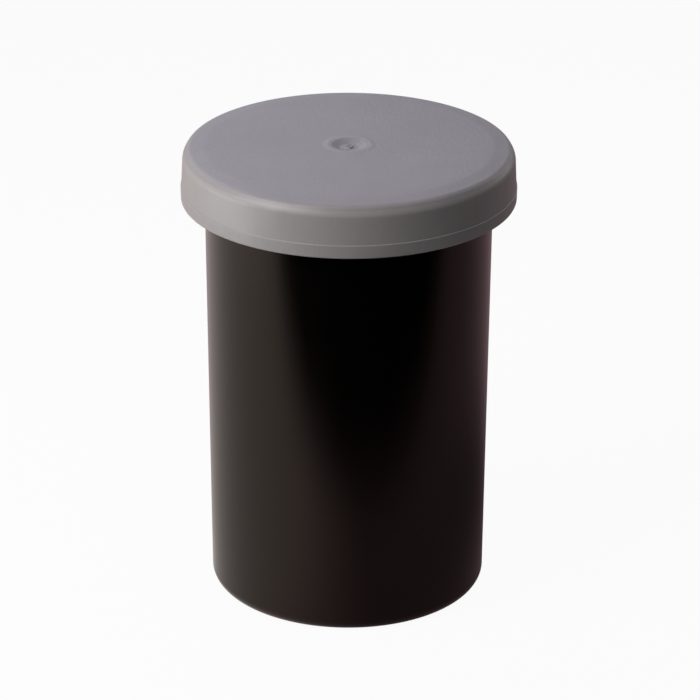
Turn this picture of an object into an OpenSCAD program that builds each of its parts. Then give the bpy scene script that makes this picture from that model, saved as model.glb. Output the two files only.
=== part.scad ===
// Film canister for one 35 mm film cartridge: a moulded plastic pot and its snap lid.
// Both pieces are turned shapes about the Z axis. The foot ring stands on z = 0, and the lid is
// shown pressed home, with its ceiling on the pot's rim. All sizes are in millimetres.

/* [Pot] */
// Outside diameter of the pot at its rim, without the flange
pot_rim_d = 31.2; // [29:0.1:36]
// Outside diameter of the pot at its foot
pot_foot_d = 30.2; // [28:0.1:31]
// Height of the pot, from the foot ring to the top of the rim
pot_h = 50; // [40:0.5:70]
// Thickness of the pot's wall
pot_wall = 0.9; // [0.6:0.05:1.5]
// Thickness of the pot's floor
floor_t = 1; // [0.6:0.1:2]
// Radius of the corner between the wall and the foot
foot_corner_r = 1.4; // [0.8:0.1:2.5]
// Radius of the corner between the wall and the floor, inside
floor_corner_r = 0.8; // [0.3:0.1:2]

/* [Foot] */
// Width of the flat foot ring
foot_ring_w = 1.5; // [1:0.1:3]
// How far the middle of the base is set up above the foot ring
foot_recess = 0.5; // [0.3:0.1:1]
// Diameter of the moulding gate's stub under the base
foot_gate_d = 1.4; // [0.8:0.1:3]
// Length of that stub
foot_gate_h = 0.25; // [0.1:0.05:0.3]

/* [Rim flange] */
// How far the flange stands out from the wall
flange_w = 1.05; // [0.6:0.05:2]
// Height of the flange
flange_h = 1.3; // [1:0.1:2]

/* [Lid] */
// Height of the lid, from the skirt's edge to the top
lid_h = 6; // [5:0.1:9]
// Thickness of the lid's top
lid_t = 1.1; // [0.8:0.1:1.6]
// Thickness of the skirt, just under the rounded edge
skirt_wall = 0.95; // [0.8:0.05:1.6]
// Radius of the rounded edge between the top and the skirt
lid_edge_r = 1.8; // [1:0.1:2.8]
// How much the skirt widens from the rounded edge down to the band
skirt_flare = 0.2; // [0:0.05:0.4]
// Height of the band along the skirt's edge
band_h = 1.5; // [1:0.1:2]
// How far the band stands out from the skirt
band_step = 0.1; // [0.05:0.05:0.3]

/* [Lid inside] */
// Gap between the flange and the skirt
flange_gap = 0.3; // [0.1:0.05:0.6]
// Gap between the flange and the snap bead, as it is when the skirt is sprung over the flange
snap_gap = 0.05; // [0.02:0.01:0.09]
// Height of the snap bead
snap_bead_h = 1; // [0.6:0.1:1.4]
// Depth of the plug ring below the lid's ceiling
plug_h = 2.6; // [1.5:0.1:4]
// Thickness of the plug ring
plug_wall = 0.8; // [0.5:0.05:1.2]
// Gap between the plug ring and the pot's wall
plug_gap = 0.08; // [0.03:0.01:0.2]

/* [Dimple] */
// Diameter of the dimple in the lid's top, where its edge would be sharp
dimple_d = 4.7; // [3:0.1:8]
// Depth of the dimple
dimple_depth = 0.5; // [0.2:0.05:0.7]
// Diameter of the moulding gate's stub in the dimple
lid_gate_d = 0.9; // [0.4:0.1:1.6]
// Height of that stub
lid_gate_h = 0.2; // [0.1:0.05:0.2]

/* [Hidden] */
$fn = 180;

// Small radii where two faces of a moulding meet.
soft_edge_r = 0.25;
tip_r = 0.3;
hollow_edge_r = 0.15;

// Pot: radii and heights.
rim_r = pot_rim_d / 2;
foot_r = pot_foot_d / 2;
flange_r = rim_r + flange_w;
flange_z = pot_h - flange_h;
floor_z = foot_recess + floor_t;
function wall_r(z) = foot_r + (rim_r - foot_r) * z / pot_h;
bore_rim_r = rim_r - pot_wall;
bore_floor_r = wall_r(floor_z) - pot_wall;
// The flat foot ring, and the 45 degree slope from its inner edge up to the recessed base.
ring_in_r = foot_r - foot_corner_r - foot_ring_w;
base_r = ring_in_r - foot_recess;

// Lid: radii and heights. The ceiling rests on the pot's rim.
ceiling_z = pot_h;
lid_top_z = ceiling_z + lid_t;
lid_low_z = lid_top_z - lid_h;
band_z = lid_low_z + band_h;
skirt_in_r = flange_r + flange_gap;
skirt_r = skirt_in_r + skirt_wall;
skirt_low_r = skirt_r + skirt_flare;
band_r = skirt_low_r + band_step;
// The band draws in a little towards the edge, and the skirt's mouth opens as a lead-in.
band_draft = 0.15;
mouth_flare = 0.25;
bead_r = flange_r + snap_gap;
bead_top_z = flange_z - snap_gap;
bead_low_z = bead_top_z - snap_bead_h;
bead_mid_z = (bead_top_z + bead_low_z) / 2;
bead_nose_r = 0.4 * snap_bead_h;
// The plug ring narrows towards its tip, which leads it into the bore.
plug_r = bore_rim_r - plug_gap;
plug_in_r = plug_r - plug_wall;
plug_tip_z = ceiling_z - plug_h;
plug_draft = 0.15;
plug_tip_r = min(tip_r, 0.45 * (plug_wall - plug_draft));

// Dimple: a sloping side between its edge and its floor, blended in by wide radii.
dimple_side_w = 1.4;
dimple_lip_r = 1.4;
dimple_floor_r = dimple_d / 2 - dimple_side_w;
dimple_floor_z = lid_top_z - dimple_depth;

// Half of the angle between two directions, and the distance from a corner to where an arc of
// radius r touches its sides.
function unit(v) = v / norm(v);
function half_turn(a, b) = acos(unit(a) * unit(b)) / 2;
function reach(before, at, after, r) = r / tan(half_turn(before - at, after - at));

// Outline of straight sides through corners [x, y, radius], run counter-clockwise. A corner with a
// radius is first cut straight across, along a chord. Then a cap of a circle is added on that chord
// where the outline turns left, and taken away where it turns right. The cap reaches a little past its
// chord, and its circle is larger by a hair, so that it crosses both sides cleanly. Its box is wider
// than the circle.
cap_hair = 0.0002;
cap_overlap = 0.05;
cap_width = 1.1;
module rounded_outline(corners) {
    n = len(corners);
    at = [for (c = corners) [c[0], c[1]]];
    before = [for (i = [0 : n - 1]) at[(i + n - 1) % n]];
    after = [for (i = [0 : n - 1]) at[(i + 1) % n]];
    round_at = [for (i = [0 : n - 1]) if (corners[i][2] > 0) i];
    function touch(i, towards) =
        at[i] + unit(towards - at[i]) * reach(before[i], at[i], after[i], corners[i][2]);
    function left_turn(i) = cross(at[i] - before[i], after[i] - at[i]) > 0;
    module cap(i) {
        r = corners[i][2];
        first = touch(i, before[i]);
        last = touch(i, after[i]);
        middle = (first + last) / 2;
        along = unit(last - first) * r * cap_width;
        outwards = unit(at[i] - middle) * r;
        low = middle - outwards * cap_overlap;
        high = middle + outwards;
        centre = at[i] - outwards / sin(half_turn(before[i] - at[i], after[i] - at[i]));
        intersection() {
            polygon([low - along, low + along, high + along, high - along]);
            translate(centre) circle(r = r + cap_hair);
        }
    }
    difference() {
        union() {
            polygon([
                for (i = [0 : n - 1])
                    each corners[i][2] > 0 ? [touch(i, before[i]), touch(i, after[i])] : [at[i]]
            ]);
            for (i = round_at) if (left_turn(i)) cap(i);
        }
        for (i = round_at) if (!left_turn(i)) cap(i);
    }
}

// Black pot: thin drafted wall, flanged rim, and a base set up inside a foot ring.
module pot() {
    color([0.09, 0.08, 0.08]) {
        rotate_extrude() rounded_outline([
            [0, foot_recess, 0],
            [base_r, foot_recess, soft_edge_r],
            [ring_in_r, 0, soft_edge_r],
            [foot_r, 0, foot_corner_r],
            [wall_r(flange_z), flange_z, soft_edge_r],
            [flange_r, flange_z, soft_edge_r],
            [flange_r, pot_h, tip_r],
            [bore_rim_r, pot_h, soft_edge_r],
            [bore_floor_r, floor_z, floor_corner_r],
            [0, floor_z, 0],
        ]);
        translate([0, 0, foot_recess - foot_gate_h]) cylinder(d = foot_gate_d, h = foot_gate_h);
    }
}

// Grey lid: flat top with a gate dimple, rounded edge, banded skirt, snap bead and plug ring.
module lid() {
    color([0.57, 0.55, 0.58]) {
        rotate_extrude() rounded_outline([
            [0, ceiling_z, 0],
            [plug_in_r, ceiling_z, tip_r],
            [plug_in_r, plug_tip_z, plug_tip_r],
            [plug_r - plug_draft, plug_tip_z, plug_tip_r],
            [plug_r, ceiling_z, hollow_edge_r],
            [skirt_in_r, ceiling_z, tip_r],
            [skirt_in_r, bead_top_z, hollow_edge_r],
            [bead_r, bead_mid_z, bead_nose_r],
            [skirt_in_r, bead_low_z, hollow_edge_r],
            [skirt_in_r + mouth_flare, lid_low_z, soft_edge_r],
            [band_r - band_draft, lid_low_z, soft_edge_r],
            [band_r, band_z, 0],
            [skirt_low_r, band_z, 0],
            [skirt_r, lid_top_z, lid_edge_r],
            [dimple_d / 2, lid_top_z, dimple_lip_r],
            [dimple_floor_r, dimple_floor_z, dimple_floor_r],
            [0, dimple_floor_z, 0],
        ]);
        translate([0, 0, dimple_floor_z]) cylinder(d = lid_gate_d, h = lid_gate_h);
    }
}

pot();
lid();
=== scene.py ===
"""A film canister: a black moulded pot with a grey snap lid, standing on a pale table."""

import math

import bpy
import numpy as np
from mathutils import Matrix, Vector


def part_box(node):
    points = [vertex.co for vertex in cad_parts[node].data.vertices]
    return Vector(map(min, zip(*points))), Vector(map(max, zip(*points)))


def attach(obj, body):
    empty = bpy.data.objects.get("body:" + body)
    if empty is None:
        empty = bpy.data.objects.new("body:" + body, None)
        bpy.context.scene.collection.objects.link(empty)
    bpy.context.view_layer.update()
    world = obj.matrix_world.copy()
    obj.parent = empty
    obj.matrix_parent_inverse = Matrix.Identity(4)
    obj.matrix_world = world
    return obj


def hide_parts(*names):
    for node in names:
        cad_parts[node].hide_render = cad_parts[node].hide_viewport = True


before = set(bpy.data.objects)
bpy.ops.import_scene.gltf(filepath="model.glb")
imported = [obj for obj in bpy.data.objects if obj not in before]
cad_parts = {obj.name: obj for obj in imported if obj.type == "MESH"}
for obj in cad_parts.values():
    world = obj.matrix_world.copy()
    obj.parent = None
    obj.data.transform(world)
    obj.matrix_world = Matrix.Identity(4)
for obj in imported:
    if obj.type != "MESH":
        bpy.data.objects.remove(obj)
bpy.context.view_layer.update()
scene = bpy.context.scene
scene.view_settings.view_transform = "Standard"

# Camera: a long lens on a tripod, looking down at the canister from the front. It is set up for a
# square picture and rolled by a quarter of a degree, as the photograph is.
MM = 0.001
LENS_MM = 195
SENSOR_MM = 36
NEAREST = 0.01
FARTHEST = 20
LOOK_DOWN = math.radians(23.58)
ROLL = math.radians(0.24)
AIM_MM = (0.19, 0, 26.97)
AIM_DISTANCE_MM = 416.3

camera = bpy.data.objects.new("camera", bpy.data.cameras.new("camera"))
camera.data.lens = LENS_MM
camera.data.sensor_width = SENSOR_MM
camera.data.clip_start = NEAREST
camera.data.clip_end = FARTHEST
camera.matrix_world = (
    Matrix.Translation([side * MM for side in AIM_MM])
    @ Matrix.Rotation(math.pi / 2 - LOOK_DOWN, 4, "X")
    @ Matrix.Rotation(ROLL, 4, "Z")
    @ Matrix.Translation((0, 0, AIM_DISTANCE_MM * MM))
)
scene.collection.objects.link(camera)
scene.camera = camera

# Pot: stiff black polyethylene, injection moulded in one piece from a gate in the middle of its base.
# The wall tapers a little towards the foot so that it leaves the mould, and a flange round the rim
# carries the lid. The outside has the mould's satin finish, and the inside is smoother.
FLANGE_W = 1.05
FLANGE_H = 1.3
POT_WALL = 0.9
FLOOR_T = 1.0
FLOOR_ROUND = 0.8
FOOT_R = 15.1
FOOT_ROUND = 1.4
FOOT_RING_W = 1.5
FOOT_RECESS = 0.5
SOFT_ROUND = 0.25
TIP_ROUND = 0.3
POT_GATE_R = 0.7
POT_GATE_H = 0.25
POT_GATE_TEAR = 0.1
GATE_TAPER = 0.05
GATE_ROUND = 0.05
GATE_ROOT_ROUND = 0.08
BORE_POLISH = 0.6
POLISH_CHANGE = -0.06
POT_ROUGHNESS = (0.13, 0.21)
POT_HEIGHT_SPAN = (0.4, 0.7)
POT_SKIN = {"Grain size": 0.00016, "Grain depth": 0.5, "Drag": 0.12, "Wave depth": 0.6}
POT_BUMP = 0.35
POT_BUMP_M = 0.00002
POT_BLACK = (0.001, 0.0007, 0.0006, 1)
POT_SHEEN = (1, 0.88, 0.75, 1)

_, pot_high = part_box("pot")
rim_z = pot_high.z / MM
flange_r = pot_high.x / MM
rim_r = flange_r - FLANGE_W
flange_z = rim_z - FLANGE_H
floor_z = FOOT_RECESS + FLOOR_T
ring_in_r = FOOT_R - FOOT_ROUND - FOOT_RING_W
foot_gate_z = FOOT_RECESS - POT_GATE_H


def wall_r(z):
    """The pot's outside radius at a height: a straight line from the foot to the rim."""
    return FOOT_R + (rim_r - FOOT_R) * z / rim_z


# How fine a turned shape is: steps round the axis, how far a chord may lie inside its arc, the
# longest step along a straight side, and the distances from its ends at which it has points.
TURNS = 256
ARC_SAG = 0.001
LONGEST_STEP = 1.2
END_STEPS = np.array([0.02, 0.15, 0.45])
LEAST_STEP = 0.01


def unit(v):
    """The vector v at length 1."""
    return v / np.linalg.norm(v)


def outline(corners):
    """Points (radius, height) along a half outline from axis to axis, in millimetres.

    Straight sides join the corners (radius, height, round). A corner with a round is replaced by the
    arc of that radius that touches both sides: start and end swung about its centre in even steps.
    Sides get points close to their ends, so that smooth shading stays in the corners.
    """
    at = np.array(corners, float)[:, :2]
    pieces = [at[:1]]
    for before, corner, after, radius in zip(at, at[1:], at[2:], np.array(corners)[1:-1, 2]):
        back, on = unit(before - corner), unit(after - corner)
        half = math.acos(back @ on) / 2
        centre = corner + unit(back + on) * radius / math.sin(half)
        start, end = (corner + side * radius / math.tan(half) - centre for side in (back, on))
        sweep = math.pi - 2 * half
        steps = math.ceil(sweep / (2 * math.acos(1 - min(ARC_SAG / radius, 0.1))))
        share = np.linspace(0, 1, steps + 1)[:, None]
        swung = np.sin((1 - share) * sweep) * start + np.sin(share * sweep) * end
        pieces.append(centre + swung / math.sin(sweep))
    pieces.append(at[-1:])
    run = [pieces[0]]
    for this, following in zip(pieces, pieces[1:]):
        length = np.linalg.norm(following[0] - this[-1])
        even = np.linspace(0, length, int(length // LONGEST_STEP) + 2)
        along = np.unique(np.round(np.concatenate([END_STEPS, length - END_STEPS, even]), 3))
        along = along[(along > LEAST_STEP) & (along < length - LEAST_STEP)][:, None]
        run += [this[-1] + (following[0] - this[-1]) * along / length, following]
    return np.concatenate(run)


def near(points, places):
    """How near each outline point is to the places, each (radius, height, reach, weight).

    The sum of one bell curve for each place: its weight at the place, falling off over its reach.
    """
    return sum(
        weight * np.exp(-(((points - (radius, height)) ** 2).sum(1)) / reach**2)
        for radius, height, reach, weight in places
    )


def turned(name, run, masks, carve):
    """A closed piece: the outline carried once round the Z axis, closed by a fan at each pole.

    A point at angle a is (radius cos a, radius sin a, height), and carve then moves the points. Each
    mask holds a value for every outline point, and becomes an attribute of the mesh.
    """
    angle = np.arange(TURNS) * 2 * np.pi / TURNS
    radius, height = run[1:-1, :1], run[1:-1, 1:]
    grid = np.stack([radius * np.cos(angle), radius * np.sin(angle), height + 0 * angle], -1)
    poles = np.array([[0, 0, run[0, 1]], [0, 0, run[-1, 1]]])
    points = carve(np.concatenate([poles[:1], grid.reshape(-1, 3), poles[1:]]))
    ring = 1 + np.arange(grid.shape[0] * TURNS).reshape(-1, TURNS)
    beside = np.roll(ring, -1, axis=1)
    quads = np.stack([ring[:-1], beside[:-1], beside[1:], ring[1:]], -1).reshape(-1, 4)
    first = np.stack([0 * ring[0], beside[0], ring[0]], -1)
    last = np.stack([ring[-1], beside[-1], 0 * ring[0] + len(points) - 1], -1)
    mesh = bpy.data.meshes.new(name)
    mesh.from_pydata((points * MM).tolist(), [], first.tolist() + quads.tolist() + last.tolist())
    mesh.polygons.foreach_set("use_smooth", np.ones(len(mesh.polygons), bool))
    for mask, values in masks.items():
        spread = np.concatenate([values[:1], np.repeat(values[1:-1], TURNS), values[-1:]])
        mesh.attributes.new(mask, "FLOAT", "POINT").data.foreach_set("value", spread.astype(np.float32))
    piece = bpy.data.objects.new(name, mesh)
    scene.collection.objects.link(piece)
    return piece


TEAR_TILT = 0.7
TEAR_RIPPLE = 0.5
TEAR_WAVES = (9, 7)
END_BAND = 0.06


def torn_gate(points, top, radius, depth):
    """Tilts and ripples the flat end of a gate stub, where the sprue was torn off.

    Inside the radius the height changes by depth times a tilt across the stub plus ripples both ways,
    fading to nothing at the stub's side. Points that aren't at the height of its end stay.
    """
    x, y, z = points.T
    on_end = (np.hypot(x, y) < radius) & (abs(z - top) < END_BAND)
    fade = np.clip(1 - (np.hypot(x, y) / radius) ** 4, 0, 1)
    across, along = TEAR_WAVES
    torn = TEAR_TILT * (x - y) / radius
    torn += TEAR_RIPPLE * np.sin(across * x / radius + 1) * np.cos(along * y / radius)
    return points + np.stack([0 * x, 0 * x, on_end * fade * depth * torn], -1)


pot_run = outline(
    [
        (0, foot_gate_z, 0),
        (POT_GATE_R - GATE_TAPER, foot_gate_z, GATE_ROUND),
        (POT_GATE_R, FOOT_RECESS, GATE_ROOT_ROUND),
        (ring_in_r - FOOT_RECESS, FOOT_RECESS, SOFT_ROUND),
        (ring_in_r, 0, SOFT_ROUND),
        (FOOT_R, 0, FOOT_ROUND),
        (wall_r(flange_z), flange_z, SOFT_ROUND),
        (flange_r, flange_z, SOFT_ROUND),
        (flange_r, rim_z, TIP_ROUND),
        (rim_r - POT_WALL, rim_z, SOFT_ROUND),
        (wall_r(floor_z) - POT_WALL, floor_z, FLOOR_ROUND),
        (0, floor_z, 0),
    ]
)
# Handling polishes the outer edges, and the core of the mould left the bore smoother.
rubbed = near(pot_run, [(flange_r - 0.1, rim_z - 0.1, 0.4, 1), (FOOT_R - 0.4, 0.4, 0.8, 1)])
in_bore = (pot_run[:, 0] < rim_r - POT_WALL / 2) & (pot_run[:, 1] > floor_z - 0.1)
pot = turned(
    "pot_shell",
    pot_run,
    {"polish": rubbed + BORE_POLISH * in_bore},
    lambda points: torn_gate(points, foot_gate_z, POT_GATE_R, POT_GATE_TEAR),
)


def feed(tree, node, inputs):
    """Gives a shader node its inputs, each a plain value or the output of another node."""
    for socket, source in inputs.items():
        if isinstance(source, bpy.types.NodeSocket):
            tree.links.new(source, node.inputs[socket])
        else:
            node.inputs[socket].default_value = source
    return node


def add(tree, kind, inputs=(), **settings):
    """A new shader node with its settings and its inputs."""
    node = tree.nodes.new(kind)
    for name, value in settings.items():
        setattr(node, name, value)
    return feed(tree, node, dict(inputs))


def maths(tree, operation, *terms):
    """The result of an operation on terms, each a number or the output of another node."""
    return add(tree, "ShaderNodeMath", enumerate(terms), operation=operation).outputs[0]


def ranged(tree, value, before, after, **settings):
    """The value carried from one range (low, high) to another, and held at its ends."""
    ends = {"From Min": before[0], "From Max": before[1], "To Min": after[0], "To Max": after[1]}
    return add(tree, "ShaderNodeMapRange", {"Value": value, **ends}, **settings).outputs[0]


def noise(tree, place, scale, detail, roughness):
    """Cloud noise from 0 to 1, with scale as the number of its cells in a metre."""
    inputs = {"Vector": place, "Scale": scale, "Detail": detail, "Roughness": roughness}
    return add(tree, "ShaderNodeTexNoise", inputs).outputs["Fac"]


def bumped(tree, height, strength, distance):
    """A normal tilted by a height from 0 to 1 that stands for the distance in metres."""
    inputs = {"Height": height, "Strength": strength, "Distance": distance}
    return add(tree, "ShaderNodeBump", inputs).outputs["Normal"]


def mask(tree, name):
    """A mask that the piece's own mesh carries."""
    return add(tree, "ShaderNodeAttribute", attribute_name=name).outputs["Fac"]


def object_place(tree):
    """The place on the piece, in its own frame, which patterns follow."""
    return add(tree, "ShaderNodeTexCoord").outputs["Object"]


def new_group(name, inputs, outputs):
    """A shader node group with a place and numbers going in, and numbers coming out."""
    tree = bpy.data.node_groups.new(name, "ShaderNodeTree")
    tree.interface.new_socket("Place", in_out="INPUT", socket_type="NodeSocketVector")
    for socket in inputs:
        tree.interface.new_socket(socket, in_out="INPUT", socket_type="NodeSocketFloat")
    for socket in outputs:
        tree.interface.new_socket(socket, in_out="OUTPUT", socket_type="NodeSocketFloat")
    return tree, tree.nodes.new("NodeGroupInput").outputs, tree.nodes.new("NodeGroupOutput")


# Moulded skin: what a mould leaves on plastic. Height is fine spark-eroded grain over soft waves,
# stretched along the way the piece left the mould. Tone is slow cloudy variation.
WAVE_CELLS = 260
CLOUD_CELLS = 110
moulded_skin, given, skin_out = new_group(
    "moulded_skin", ["Grain size", "Grain depth", "Drag", "Wave depth"], ["Height", "Tone"]
)
squeeze = add(moulded_skin, "ShaderNodeCombineXYZ", {"X": 1, "Y": 1, "Z": given["Drag"]}).outputs[0]
dragged = add(
    moulded_skin, "ShaderNodeVectorMath", {0: given["Place"], 1: squeeze}, operation="MULTIPLY"
).outputs[0]
grain_cells = maths(moulded_skin, "DIVIDE", 1, given["Grain size"])
grain = noise(moulded_skin, dragged, grain_cells, 3, 0.6)
deep_grain = maths(moulded_skin, "MULTIPLY", grain, given["Grain depth"])
waves = noise(moulded_skin, dragged, WAVE_CELLS, 2, 0.5)
feed(
    moulded_skin,
    skin_out,
    {
        "Height": maths(moulded_skin, "MULTIPLY_ADD", waves, given["Wave depth"], deep_grain),
        "Tone": noise(moulded_skin, given["Place"], CLOUD_CELLS, 4, 0.6),
    },
)

pot_material = bpy.data.materials.new("pot_plastic")
pot_material.use_nodes = True
tree = pot_material.node_tree
skin = add(
    tree, "ShaderNodeGroup", {"Place": object_place(tree), **POT_SKIN}, node_tree=moulded_skin
).outputs
satin = ranged(tree, skin["Height"], POT_HEIGHT_SPAN, POT_ROUGHNESS)
feed(
    tree,
    tree.nodes["Principled BSDF"],
    {
        "Base Color": POT_BLACK,
        "Specular Tint": POT_SHEEN,
        "Roughness": maths(tree, "MULTIPLY_ADD", mask(tree, "polish"), POLISH_CHANGE, satin),
        "Normal": bumped(tree, skin["Height"], POT_BUMP, POT_BUMP_M),
    },
)
pot.data.materials.append(pot_material)
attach(pot, "pot")
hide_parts("pot")

# Lid: softer grey polyethylene, moulded from a gate in the dimple on its top. The top has a fine
# matt grain that ends just over its rim, and the shoulder and skirt are smoother, with a slightly
# prouder band along the edge. Inside, a bead snaps under the pot's flange, and a ring plugs its bore.
# Its colour holds painted light: the grained top is painted a cooler grey as a painted sheen, the
# band's corners, the shoulder and the lip carry a painted highlight that is partly edge wear, and a
# painted shade darkens the line where the grain ends.
LID_T = 1.1
SKIRT_WALL = 0.98
SKIRT_FLARE = 0.12
FLANGE_GAP = 0.3
PANEL_R = 15.6
PANEL_SINK = 0.12
PANEL_BULGE = 0.04
PANEL_ROUND = 4.0
RIM_R = 17.38
RIM_H = 0.36
RIM_ROUND = 0.7
GRAIN_END_W = 0.25
GRAIN_END_H = 0.38
GRAIN_FADE_W = 0.8
SHOULDER_R = 17.9
SHOULDER_H = 1.2
SHOULDER_ROUND = 1.5
SKIRT_TOP_H = 2.0
SKIRT_TOP_ROUND = 1.0
BAND_H = 1.5
BAND_STEP = 0.08
BAND_DRAFT = 0.03
BAND_ROUND = 0.06
BAND_CORNER_ROUND = 0.015
SKIRT_EDGE_ROUND = 0.2
MOUTH_FLARE = 0.25
SNAP_GAP = 0.05
BEAD_H = 1.0
BEAD_NOSE = 0.4
HOLLOW_ROUND = 0.15
PLUG_GAP = 0.08
PLUG_WALL = 0.8
PLUG_H = 2.6
PLUG_DRAFT = 0.15
PLUG_TIP_ROUND = 0.29
LIP_R = 2.35
LIP_H = 0.06
LIP_W = 0.5
LIP_FOOT_ROUND = 1.0
LIP_ROUND = 0.6
DIMPLE_R = 1.9
DIMPLE_EDGE_H = 0.05
DIMPLE_EDGE_ROUND = 0.4
DIMPLE_SIDE_W = 0.85
DIMPLE_DEPTH = 0.42
DIMPLE_FLOOR_ROUND = 0.6
LID_GATE_R = 0.45
LID_GATE_H = 0.2
LID_GATE_TEAR = -0.12
LID_GREY = (0.262, 0.243, 0.238, 1)
# The panel's cooler grey below is a painted sheen, not a colour of the plastic.
PANEL_SHEEN_GREY = (0.262, 0.242, 0.272, 1)
LID_SKIN = {"Grain size": 0.0003, "Grain depth": 1.0, "Drag": 0.12, "Wave depth": 0.3}
LID_BUMP = (0.25, 0.9)
LID_BUMP_M = 0.00005
LID_ROUGHNESS = (0.42, 0.6)
LID_HEIGHT_SPAN = (0.4, 0.9)
LID_SPECKLE = (-0.035, 0.035)
LID_TONE_SPAN = (0.3, 0.7)
LID_CLOUDS = (0.95, 1.05)
# Painted highlight, partly edge wear: how much the edge mask raises the grey.
EDGE_HIGHLIGHT = 0.1
# Painted shade: how much the line where the grain ends is darkened.
CREASE_SHADE = -0.09

lid_low, lid_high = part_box("lid")
lid_top_z = lid_high.z / MM
lid_edge_z = lid_low.z / MM
ceiling_z = lid_top_z - LID_T
panel_z = lid_top_z - PANEL_SINK
dimple_z = lid_top_z - DIMPLE_DEPTH
lid_gate_z = dimple_z + LID_GATE_H
shoulder_z = lid_top_z - SHOULDER_H
band_z = lid_edge_z + BAND_H
skirt_in_r = flange_r + FLANGE_GAP
skirt_r = skirt_in_r + SKIRT_WALL
skirt_low_r = skirt_r + SKIRT_FLARE
band_r = skirt_low_r + BAND_STEP
bead_top_z = flange_z - SNAP_GAP
plug_r = rim_r - POT_WALL - PLUG_GAP
plug_in_r = plug_r - PLUG_WALL
plug_tip_z = ceiling_z - PLUG_H
lid_run = outline(
    [
        (0, ceiling_z, 0),
        (plug_in_r, ceiling_z, TIP_ROUND),
        (plug_in_r, plug_tip_z, PLUG_TIP_ROUND),
        (plug_r - PLUG_DRAFT, plug_tip_z, PLUG_TIP_ROUND),
        (plug_r, ceiling_z, HOLLOW_ROUND),
        (skirt_in_r, ceiling_z, TIP_ROUND),
        (skirt_in_r, bead_top_z, HOLLOW_ROUND),
        (flange_r + SNAP_GAP, bead_top_z - BEAD_H / 2, BEAD_NOSE),
        (skirt_in_r, bead_top_z - BEAD_H, HOLLOW_ROUND),
        (skirt_in_r + MOUTH_FLARE, lid_edge_z, SOFT_ROUND),
        (band_r - BAND_DRAFT, lid_edge_z, SKIRT_EDGE_ROUND),
        (band_r, band_z, BAND_ROUND),
        (skirt_low_r, band_z, BAND_CORNER_ROUND),
        (skirt_r, lid_top_z - SKIRT_TOP_H, SKIRT_TOP_ROUND),
        (SHOULDER_R, shoulder_z, SHOULDER_ROUND),
        (RIM_R, lid_top_z - RIM_H, RIM_ROUND),
        (PANEL_R, panel_z, PANEL_ROUND),
        (LIP_R + LIP_W, lid_top_z - LIP_H, LIP_FOOT_ROUND),
        (LIP_R, lid_top_z, LIP_ROUND),
        (DIMPLE_R, lid_top_z - DIMPLE_EDGE_H, DIMPLE_EDGE_ROUND),
        (DIMPLE_R - DIMPLE_SIDE_W, dimple_z, DIMPLE_FLOOR_ROUND),
        (LID_GATE_R, dimple_z, GATE_ROOT_ROUND),
        (LID_GATE_R - GATE_TAPER, lid_gate_z, GATE_ROUND),
        (0, lid_gate_z, 0),
    ]
)
# The top bulges a little between the dimple and the rim, as a parabola that is 0 at both ends.
lid_radius, lid_height = lid_run.T
on_top = lid_height > ceiling_z + 0.1
bulge_in_r = LIP_R + 1
along_panel = np.clip((lid_radius - bulge_in_r) / (PANEL_R - bulge_in_r), 0, 1) * on_top
lid_run[:, 1] += 4 * PANEL_BULGE * along_panel * (1 - along_panel)
# Painted highlight, partly edge wear: the band's corners, the shoulder and the lip round the dimple are
# painted paler where the lamps' highlights fall.
lid_edge_highlight_and_wear = near(
    lid_run,
    [
        (band_r, band_z, 0.12, 1),
        (band_r - 0.05, lid_edge_z + 0.05, 0.2, 0.7),
        (SHOULDER_R - 0.1, shoulder_z, 0.3, 0.8),
        (LIP_R, lid_top_z, 0.3, 0.8),
    ],
)
grain_end_r = RIM_R + GRAIN_END_W
# Painted shade: a dark line painted where the grain ends on the rounding, as if shade lay there.
lid_crease_shade = near(lid_run, [(grain_end_r, lid_top_z - RIM_H - GRAIN_END_H, 0.12, 1)])
# The grain mask also paints the top a cooler grey: a painted sheen of the pale room seen at a low
# angle.
lid_grain_and_sheen = on_top * np.clip((grain_end_r + 0.05 - lid_radius) / GRAIN_FADE_W, 0, 1)
lid = turned(
    "lid_cap",
    lid_run,
    {"edge": lid_edge_highlight_and_wear, "crease_shade": lid_crease_shade, "grain": lid_grain_and_sheen},
    lambda points: torn_gate(points, lid_gate_z, LID_GATE_R, LID_GATE_TEAR),
)

lid_material = bpy.data.materials.new("lid_plastic")
lid_material.use_nodes = True
tree = lid_material.node_tree
skin = add(
    tree, "ShaderNodeGroup", {"Place": object_place(tree), **LID_SKIN}, node_tree=moulded_skin
).outputs
grain_and_sheen_mask = mask(tree, "grain")
cloudy = ranged(tree, skin["Tone"], LID_TONE_SPAN, LID_CLOUDS)
speckled = ranged(tree, skin["Height"], LID_HEIGHT_SPAN, LID_SPECKLE)
mottled = maths(tree, "ADD", cloudy, speckled)
# The edge mask adds a painted highlight that is partly edge wear.
lighter = maths(tree, "MULTIPLY_ADD", mask(tree, "edge"), EDGE_HIGHLIGHT, mottled)
# Painted shade along the line where the grain ends.
darker = maths(tree, "MULTIPLY_ADD", mask(tree, "crease_shade"), CREASE_SHADE, lighter)
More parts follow.
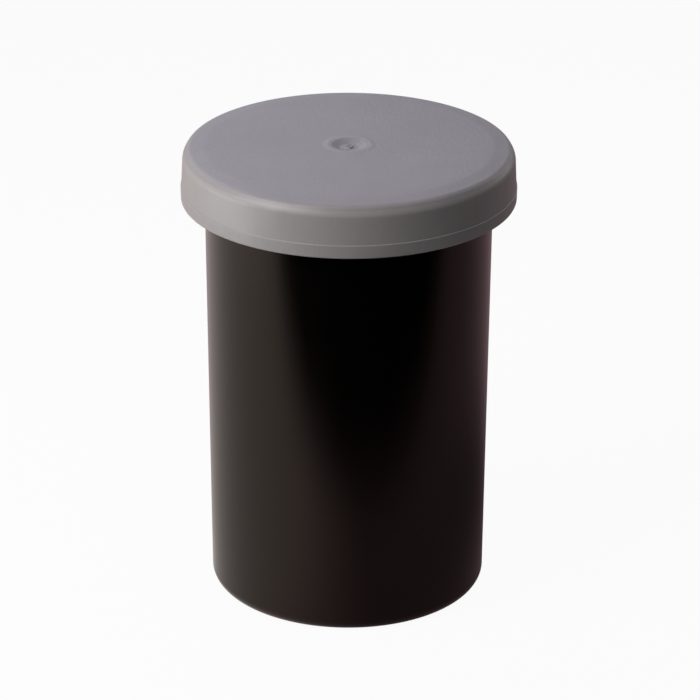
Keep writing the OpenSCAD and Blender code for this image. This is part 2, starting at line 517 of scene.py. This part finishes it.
# The grained top's cooler grey is a painted sheen, and the rest of the lid keeps the plastic's grey.
grey = add(tree, "ShaderNodeMix", {0: grain_and_sheen_mask, 6: LID_GREY, 7: PANEL_SHEEN_GREY}, data_type="RGBA").outputs[2]
shade = add(tree, "ShaderNodeVectorMath", {0: grey, "Scale": darker}, operation="SCALE").outputs[0]
feed(
    tree,
    tree.nodes["Principled BSDF"],
    {
        "Base Color": shade,
        "Roughness": ranged(tree, grain_and_sheen_mask, (0, 1), LID_ROUGHNESS),
        "Normal": bumped(tree, skin["Height"], ranged(tree, grain_and_sheen_mask, (0, 1), LID_BUMP), LID_BUMP_M),
    },
)
lid.data.materials.append(lid_material)
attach(lid, "lid")
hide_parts("lid")

# Table: a plain pale sheet. The camera sees it almost white, with the canister's soft shadow. In
# reflections the sheet shows painted light: it is painted bright on the left, fades and turns redder
# towards the right, is painted dark in front, and has a painted shadow of the canister on its right.
# From below it is clear, so that the foot can be looked at.
TABLE_SIZE = 6.0
TABLE_Z = -0.00002
TABLE_GREY = (0.6, 0.6, 0.6, 1)
TABLE_WHITE = 0.95
RIGHTNESS_SPAN = (-0.85, 0.25)
SHEET_GLOW = (0.6, 0.14)
SHEET_LEFT_TINT = (1.06, 0.96, 0.92, 1)
SHEET_RIGHT_TINT = (1.3, 0.86, 0.98, 1)
FRONT_SLANT = (-0.19, 1, 0)
FRONT_Y = (-0.069, -0.033)
BACK_Y = (0.015, 0.08)
BACK_GLOW = 0.07
SHADOW_AT = (0.03, 0.015, 0)
SHADOW_R = 0.046
SHADOW_GLOW = 0.4

half = TABLE_SIZE / 2
table_mesh = bpy.data.meshes.new("table")
table_mesh.from_pydata(
    [(x, y, TABLE_Z) for x, y in ((-half, -half), (half, -half), (half, half), (-half, half))],
    [],
    [(0, 1, 2, 3)],
)
table = bpy.data.objects.new("table", table_mesh)
scene.collection.objects.link(table)
table_material = bpy.data.materials.new("table")
table_material.use_nodes = True
tree = table_material.node_tree
tree.nodes.clear()
place = object_place(tree)

# What reflections see, all painted light: how far a place lies to the right of the canister, as the
# sine of its direction, sets the painted glow and its tint, and the front edge, the back and the
# painted shadow change the glow.
way = add(tree, "ShaderNodeVectorMath", {0: place}, operation="NORMALIZE").outputs[0]
rightness = add(tree, "ShaderNodeSeparateXYZ", {"Vector": way}).outputs["X"]
side_glow = ranged(tree, rightness, RIGHTNESS_SPAN, SHEET_GLOW, interpolation_type="SMOOTHSTEP")
slanted = add(tree, "ShaderNodeVectorMath", {0: place, 1: FRONT_SLANT}, operation="DOT_PRODUCT")
past_front = ranged(tree, slanted.outputs["Value"], FRONT_Y, (0, 1), interpolation_type="SMOOTHSTEP")
behind = add(tree, "ShaderNodeSeparateXYZ", {"Vector": place}).outputs["Y"]
back_glow = ranged(tree, behind, BACK_Y, (0, BACK_GLOW))
glow = maths(tree, "MULTIPLY_ADD", side_glow, past_front, back_glow)
# Painted shadow: the glow seen in reflections is dimmed round a point to the canister's right.
from_shadow = add(tree, "ShaderNodeVectorMath", {0: place, 1: SHADOW_AT}, operation="DISTANCE")
painted_shadow = ranged(
    tree,
    from_shadow.outputs["Value"],
    (0, SHADOW_R),
    (SHADOW_GLOW, 1),
    interpolation_type="SMOOTHSTEP",
)
redder = ranged(tree, rightness, RIGHTNESS_SPAN, (0, 1))
tint = add(
    tree, "ShaderNodeMix", {0: redder, 6: SHEET_LEFT_TINT, 7: SHEET_RIGHT_TINT}, data_type="RGBA"
).outputs[2]
shaded = maths(tree, "MULTIPLY", glow, painted_shadow)
painted_reflection = add(tree, "ShaderNodeEmission", {"Strength": shaded, "Color": tint}).outputs[0]


def either(factor, first, second):
    """The table's first shader where the factor is 0, and the second where it is 1."""
    return add(tree, "ShaderNodeMixShader", {0: factor, 1: first, 2: second}).outputs[0]


rays = add(tree, "ShaderNodeLightPath").outputs
matt = add(tree, "ShaderNodeBsdfDiffuse", {"Color": TABLE_GREY}).outputs[0]
white = add(tree, "ShaderNodeEmission", {"Strength": 1}).outputs[0]
clear = add(tree, "ShaderNodeBsdfTransparent").outputs[0]
from_below = add(tree, "ShaderNodeNewGeometry").outputs["Backfacing"]
seen = either(maths(tree, "MULTIPLY", rays["Is Camera Ray"], TABLE_WHITE), matt, white)
above = either(rays["Is Glossy Ray"], seen, painted_reflection)
add(tree, "ShaderNodeOutputMaterial", {"Surface": either(from_below, above, clear)})
table_mesh.materials.append(table_material)

# Lamps: softboxes round the table, aimed at the canister. Each has its direction (degrees round from
# the camera and degrees up), distance and size in metres, how bright its face is, and its tint. The
# power that it takes is that brightness times pi times the area of the face.
SOFTBOXES = [
    ("key_front", -52, 31, 0.20, 0.12, 0.12, 6.2, (1, 0.99, 1.02)),
    ("key_side", -75, 30, 0.20, 0.12, 0.12, 1.6, (1, 1, 0.9)),
    ("under_left", -80, -8, 0.16, 0.12, 0.03, 7.2, (1, 1, 1.04)),
    ("overhead", 10, 80, 0.30, 0.25, 0.25, 0.75, (0.95, 1, 1.08)),
    ("back_left", -160, 35, 0.16, 0.12, 0.08, 1.9, (0.98, 1, 1.1)),
    ("high_right", 85, 50, 0.35, 0.20, 0.20, 0.4, (1.1, 1, 1)),
    ("right_back", 130, 14, 0.35, 0.15, 0.15, 1.4, (1, 1, 1)),
]
LAMPS_AIM = Vector((0, 0, 0.045))
for name, turn, rise, distance, width, tall, brightness, tint in SOFTBOXES:
    turn, rise = math.radians(turn), math.radians(rise)
    way = Vector((math.sin(turn) * math.cos(rise), -math.cos(turn) * math.cos(rise), math.sin(rise)))
    lamp = bpy.data.lights.new(name, "AREA")
    lamp.shape = "RECTANGLE"
    lamp.size = width
    lamp.size_y = tall
    lamp.energy = brightness * math.pi * width * tall
    lamp.color = tint
    box = bpy.data.objects.new(name, lamp)
    box.location = LAMPS_AIM + way * distance
    box.rotation_mode = "QUATERNION"
    box.rotation_quaternion = (-way).to_track_quat("-Z", "Y")
    box.visible_camera = False
    scene.collection.objects.link(box)

# Room: white to the camera, darker in reflections, and a dim fill to everything else.
ROOM_WHITE = (1, 1, 1, 1)
ROOM_FILL = 0.01
ROOM_MIRRORED = 0.7
room = bpy.data.worlds.new("room")
scene.world = room
room.use_nodes = True
tree = room.node_tree
rays = add(tree, "ShaderNodeLightPath").outputs
fill = ranged(tree, rays["Is Glossy Ray"], (0, 1), (ROOM_FILL, ROOM_MIRRORED))
level = ranged(tree, rays["Is Camera Ray"], (0, 1), (fill, 1))
feed(tree, tree.nodes["Background"], {"Color": ROOM_WHITE, "Strength": level})
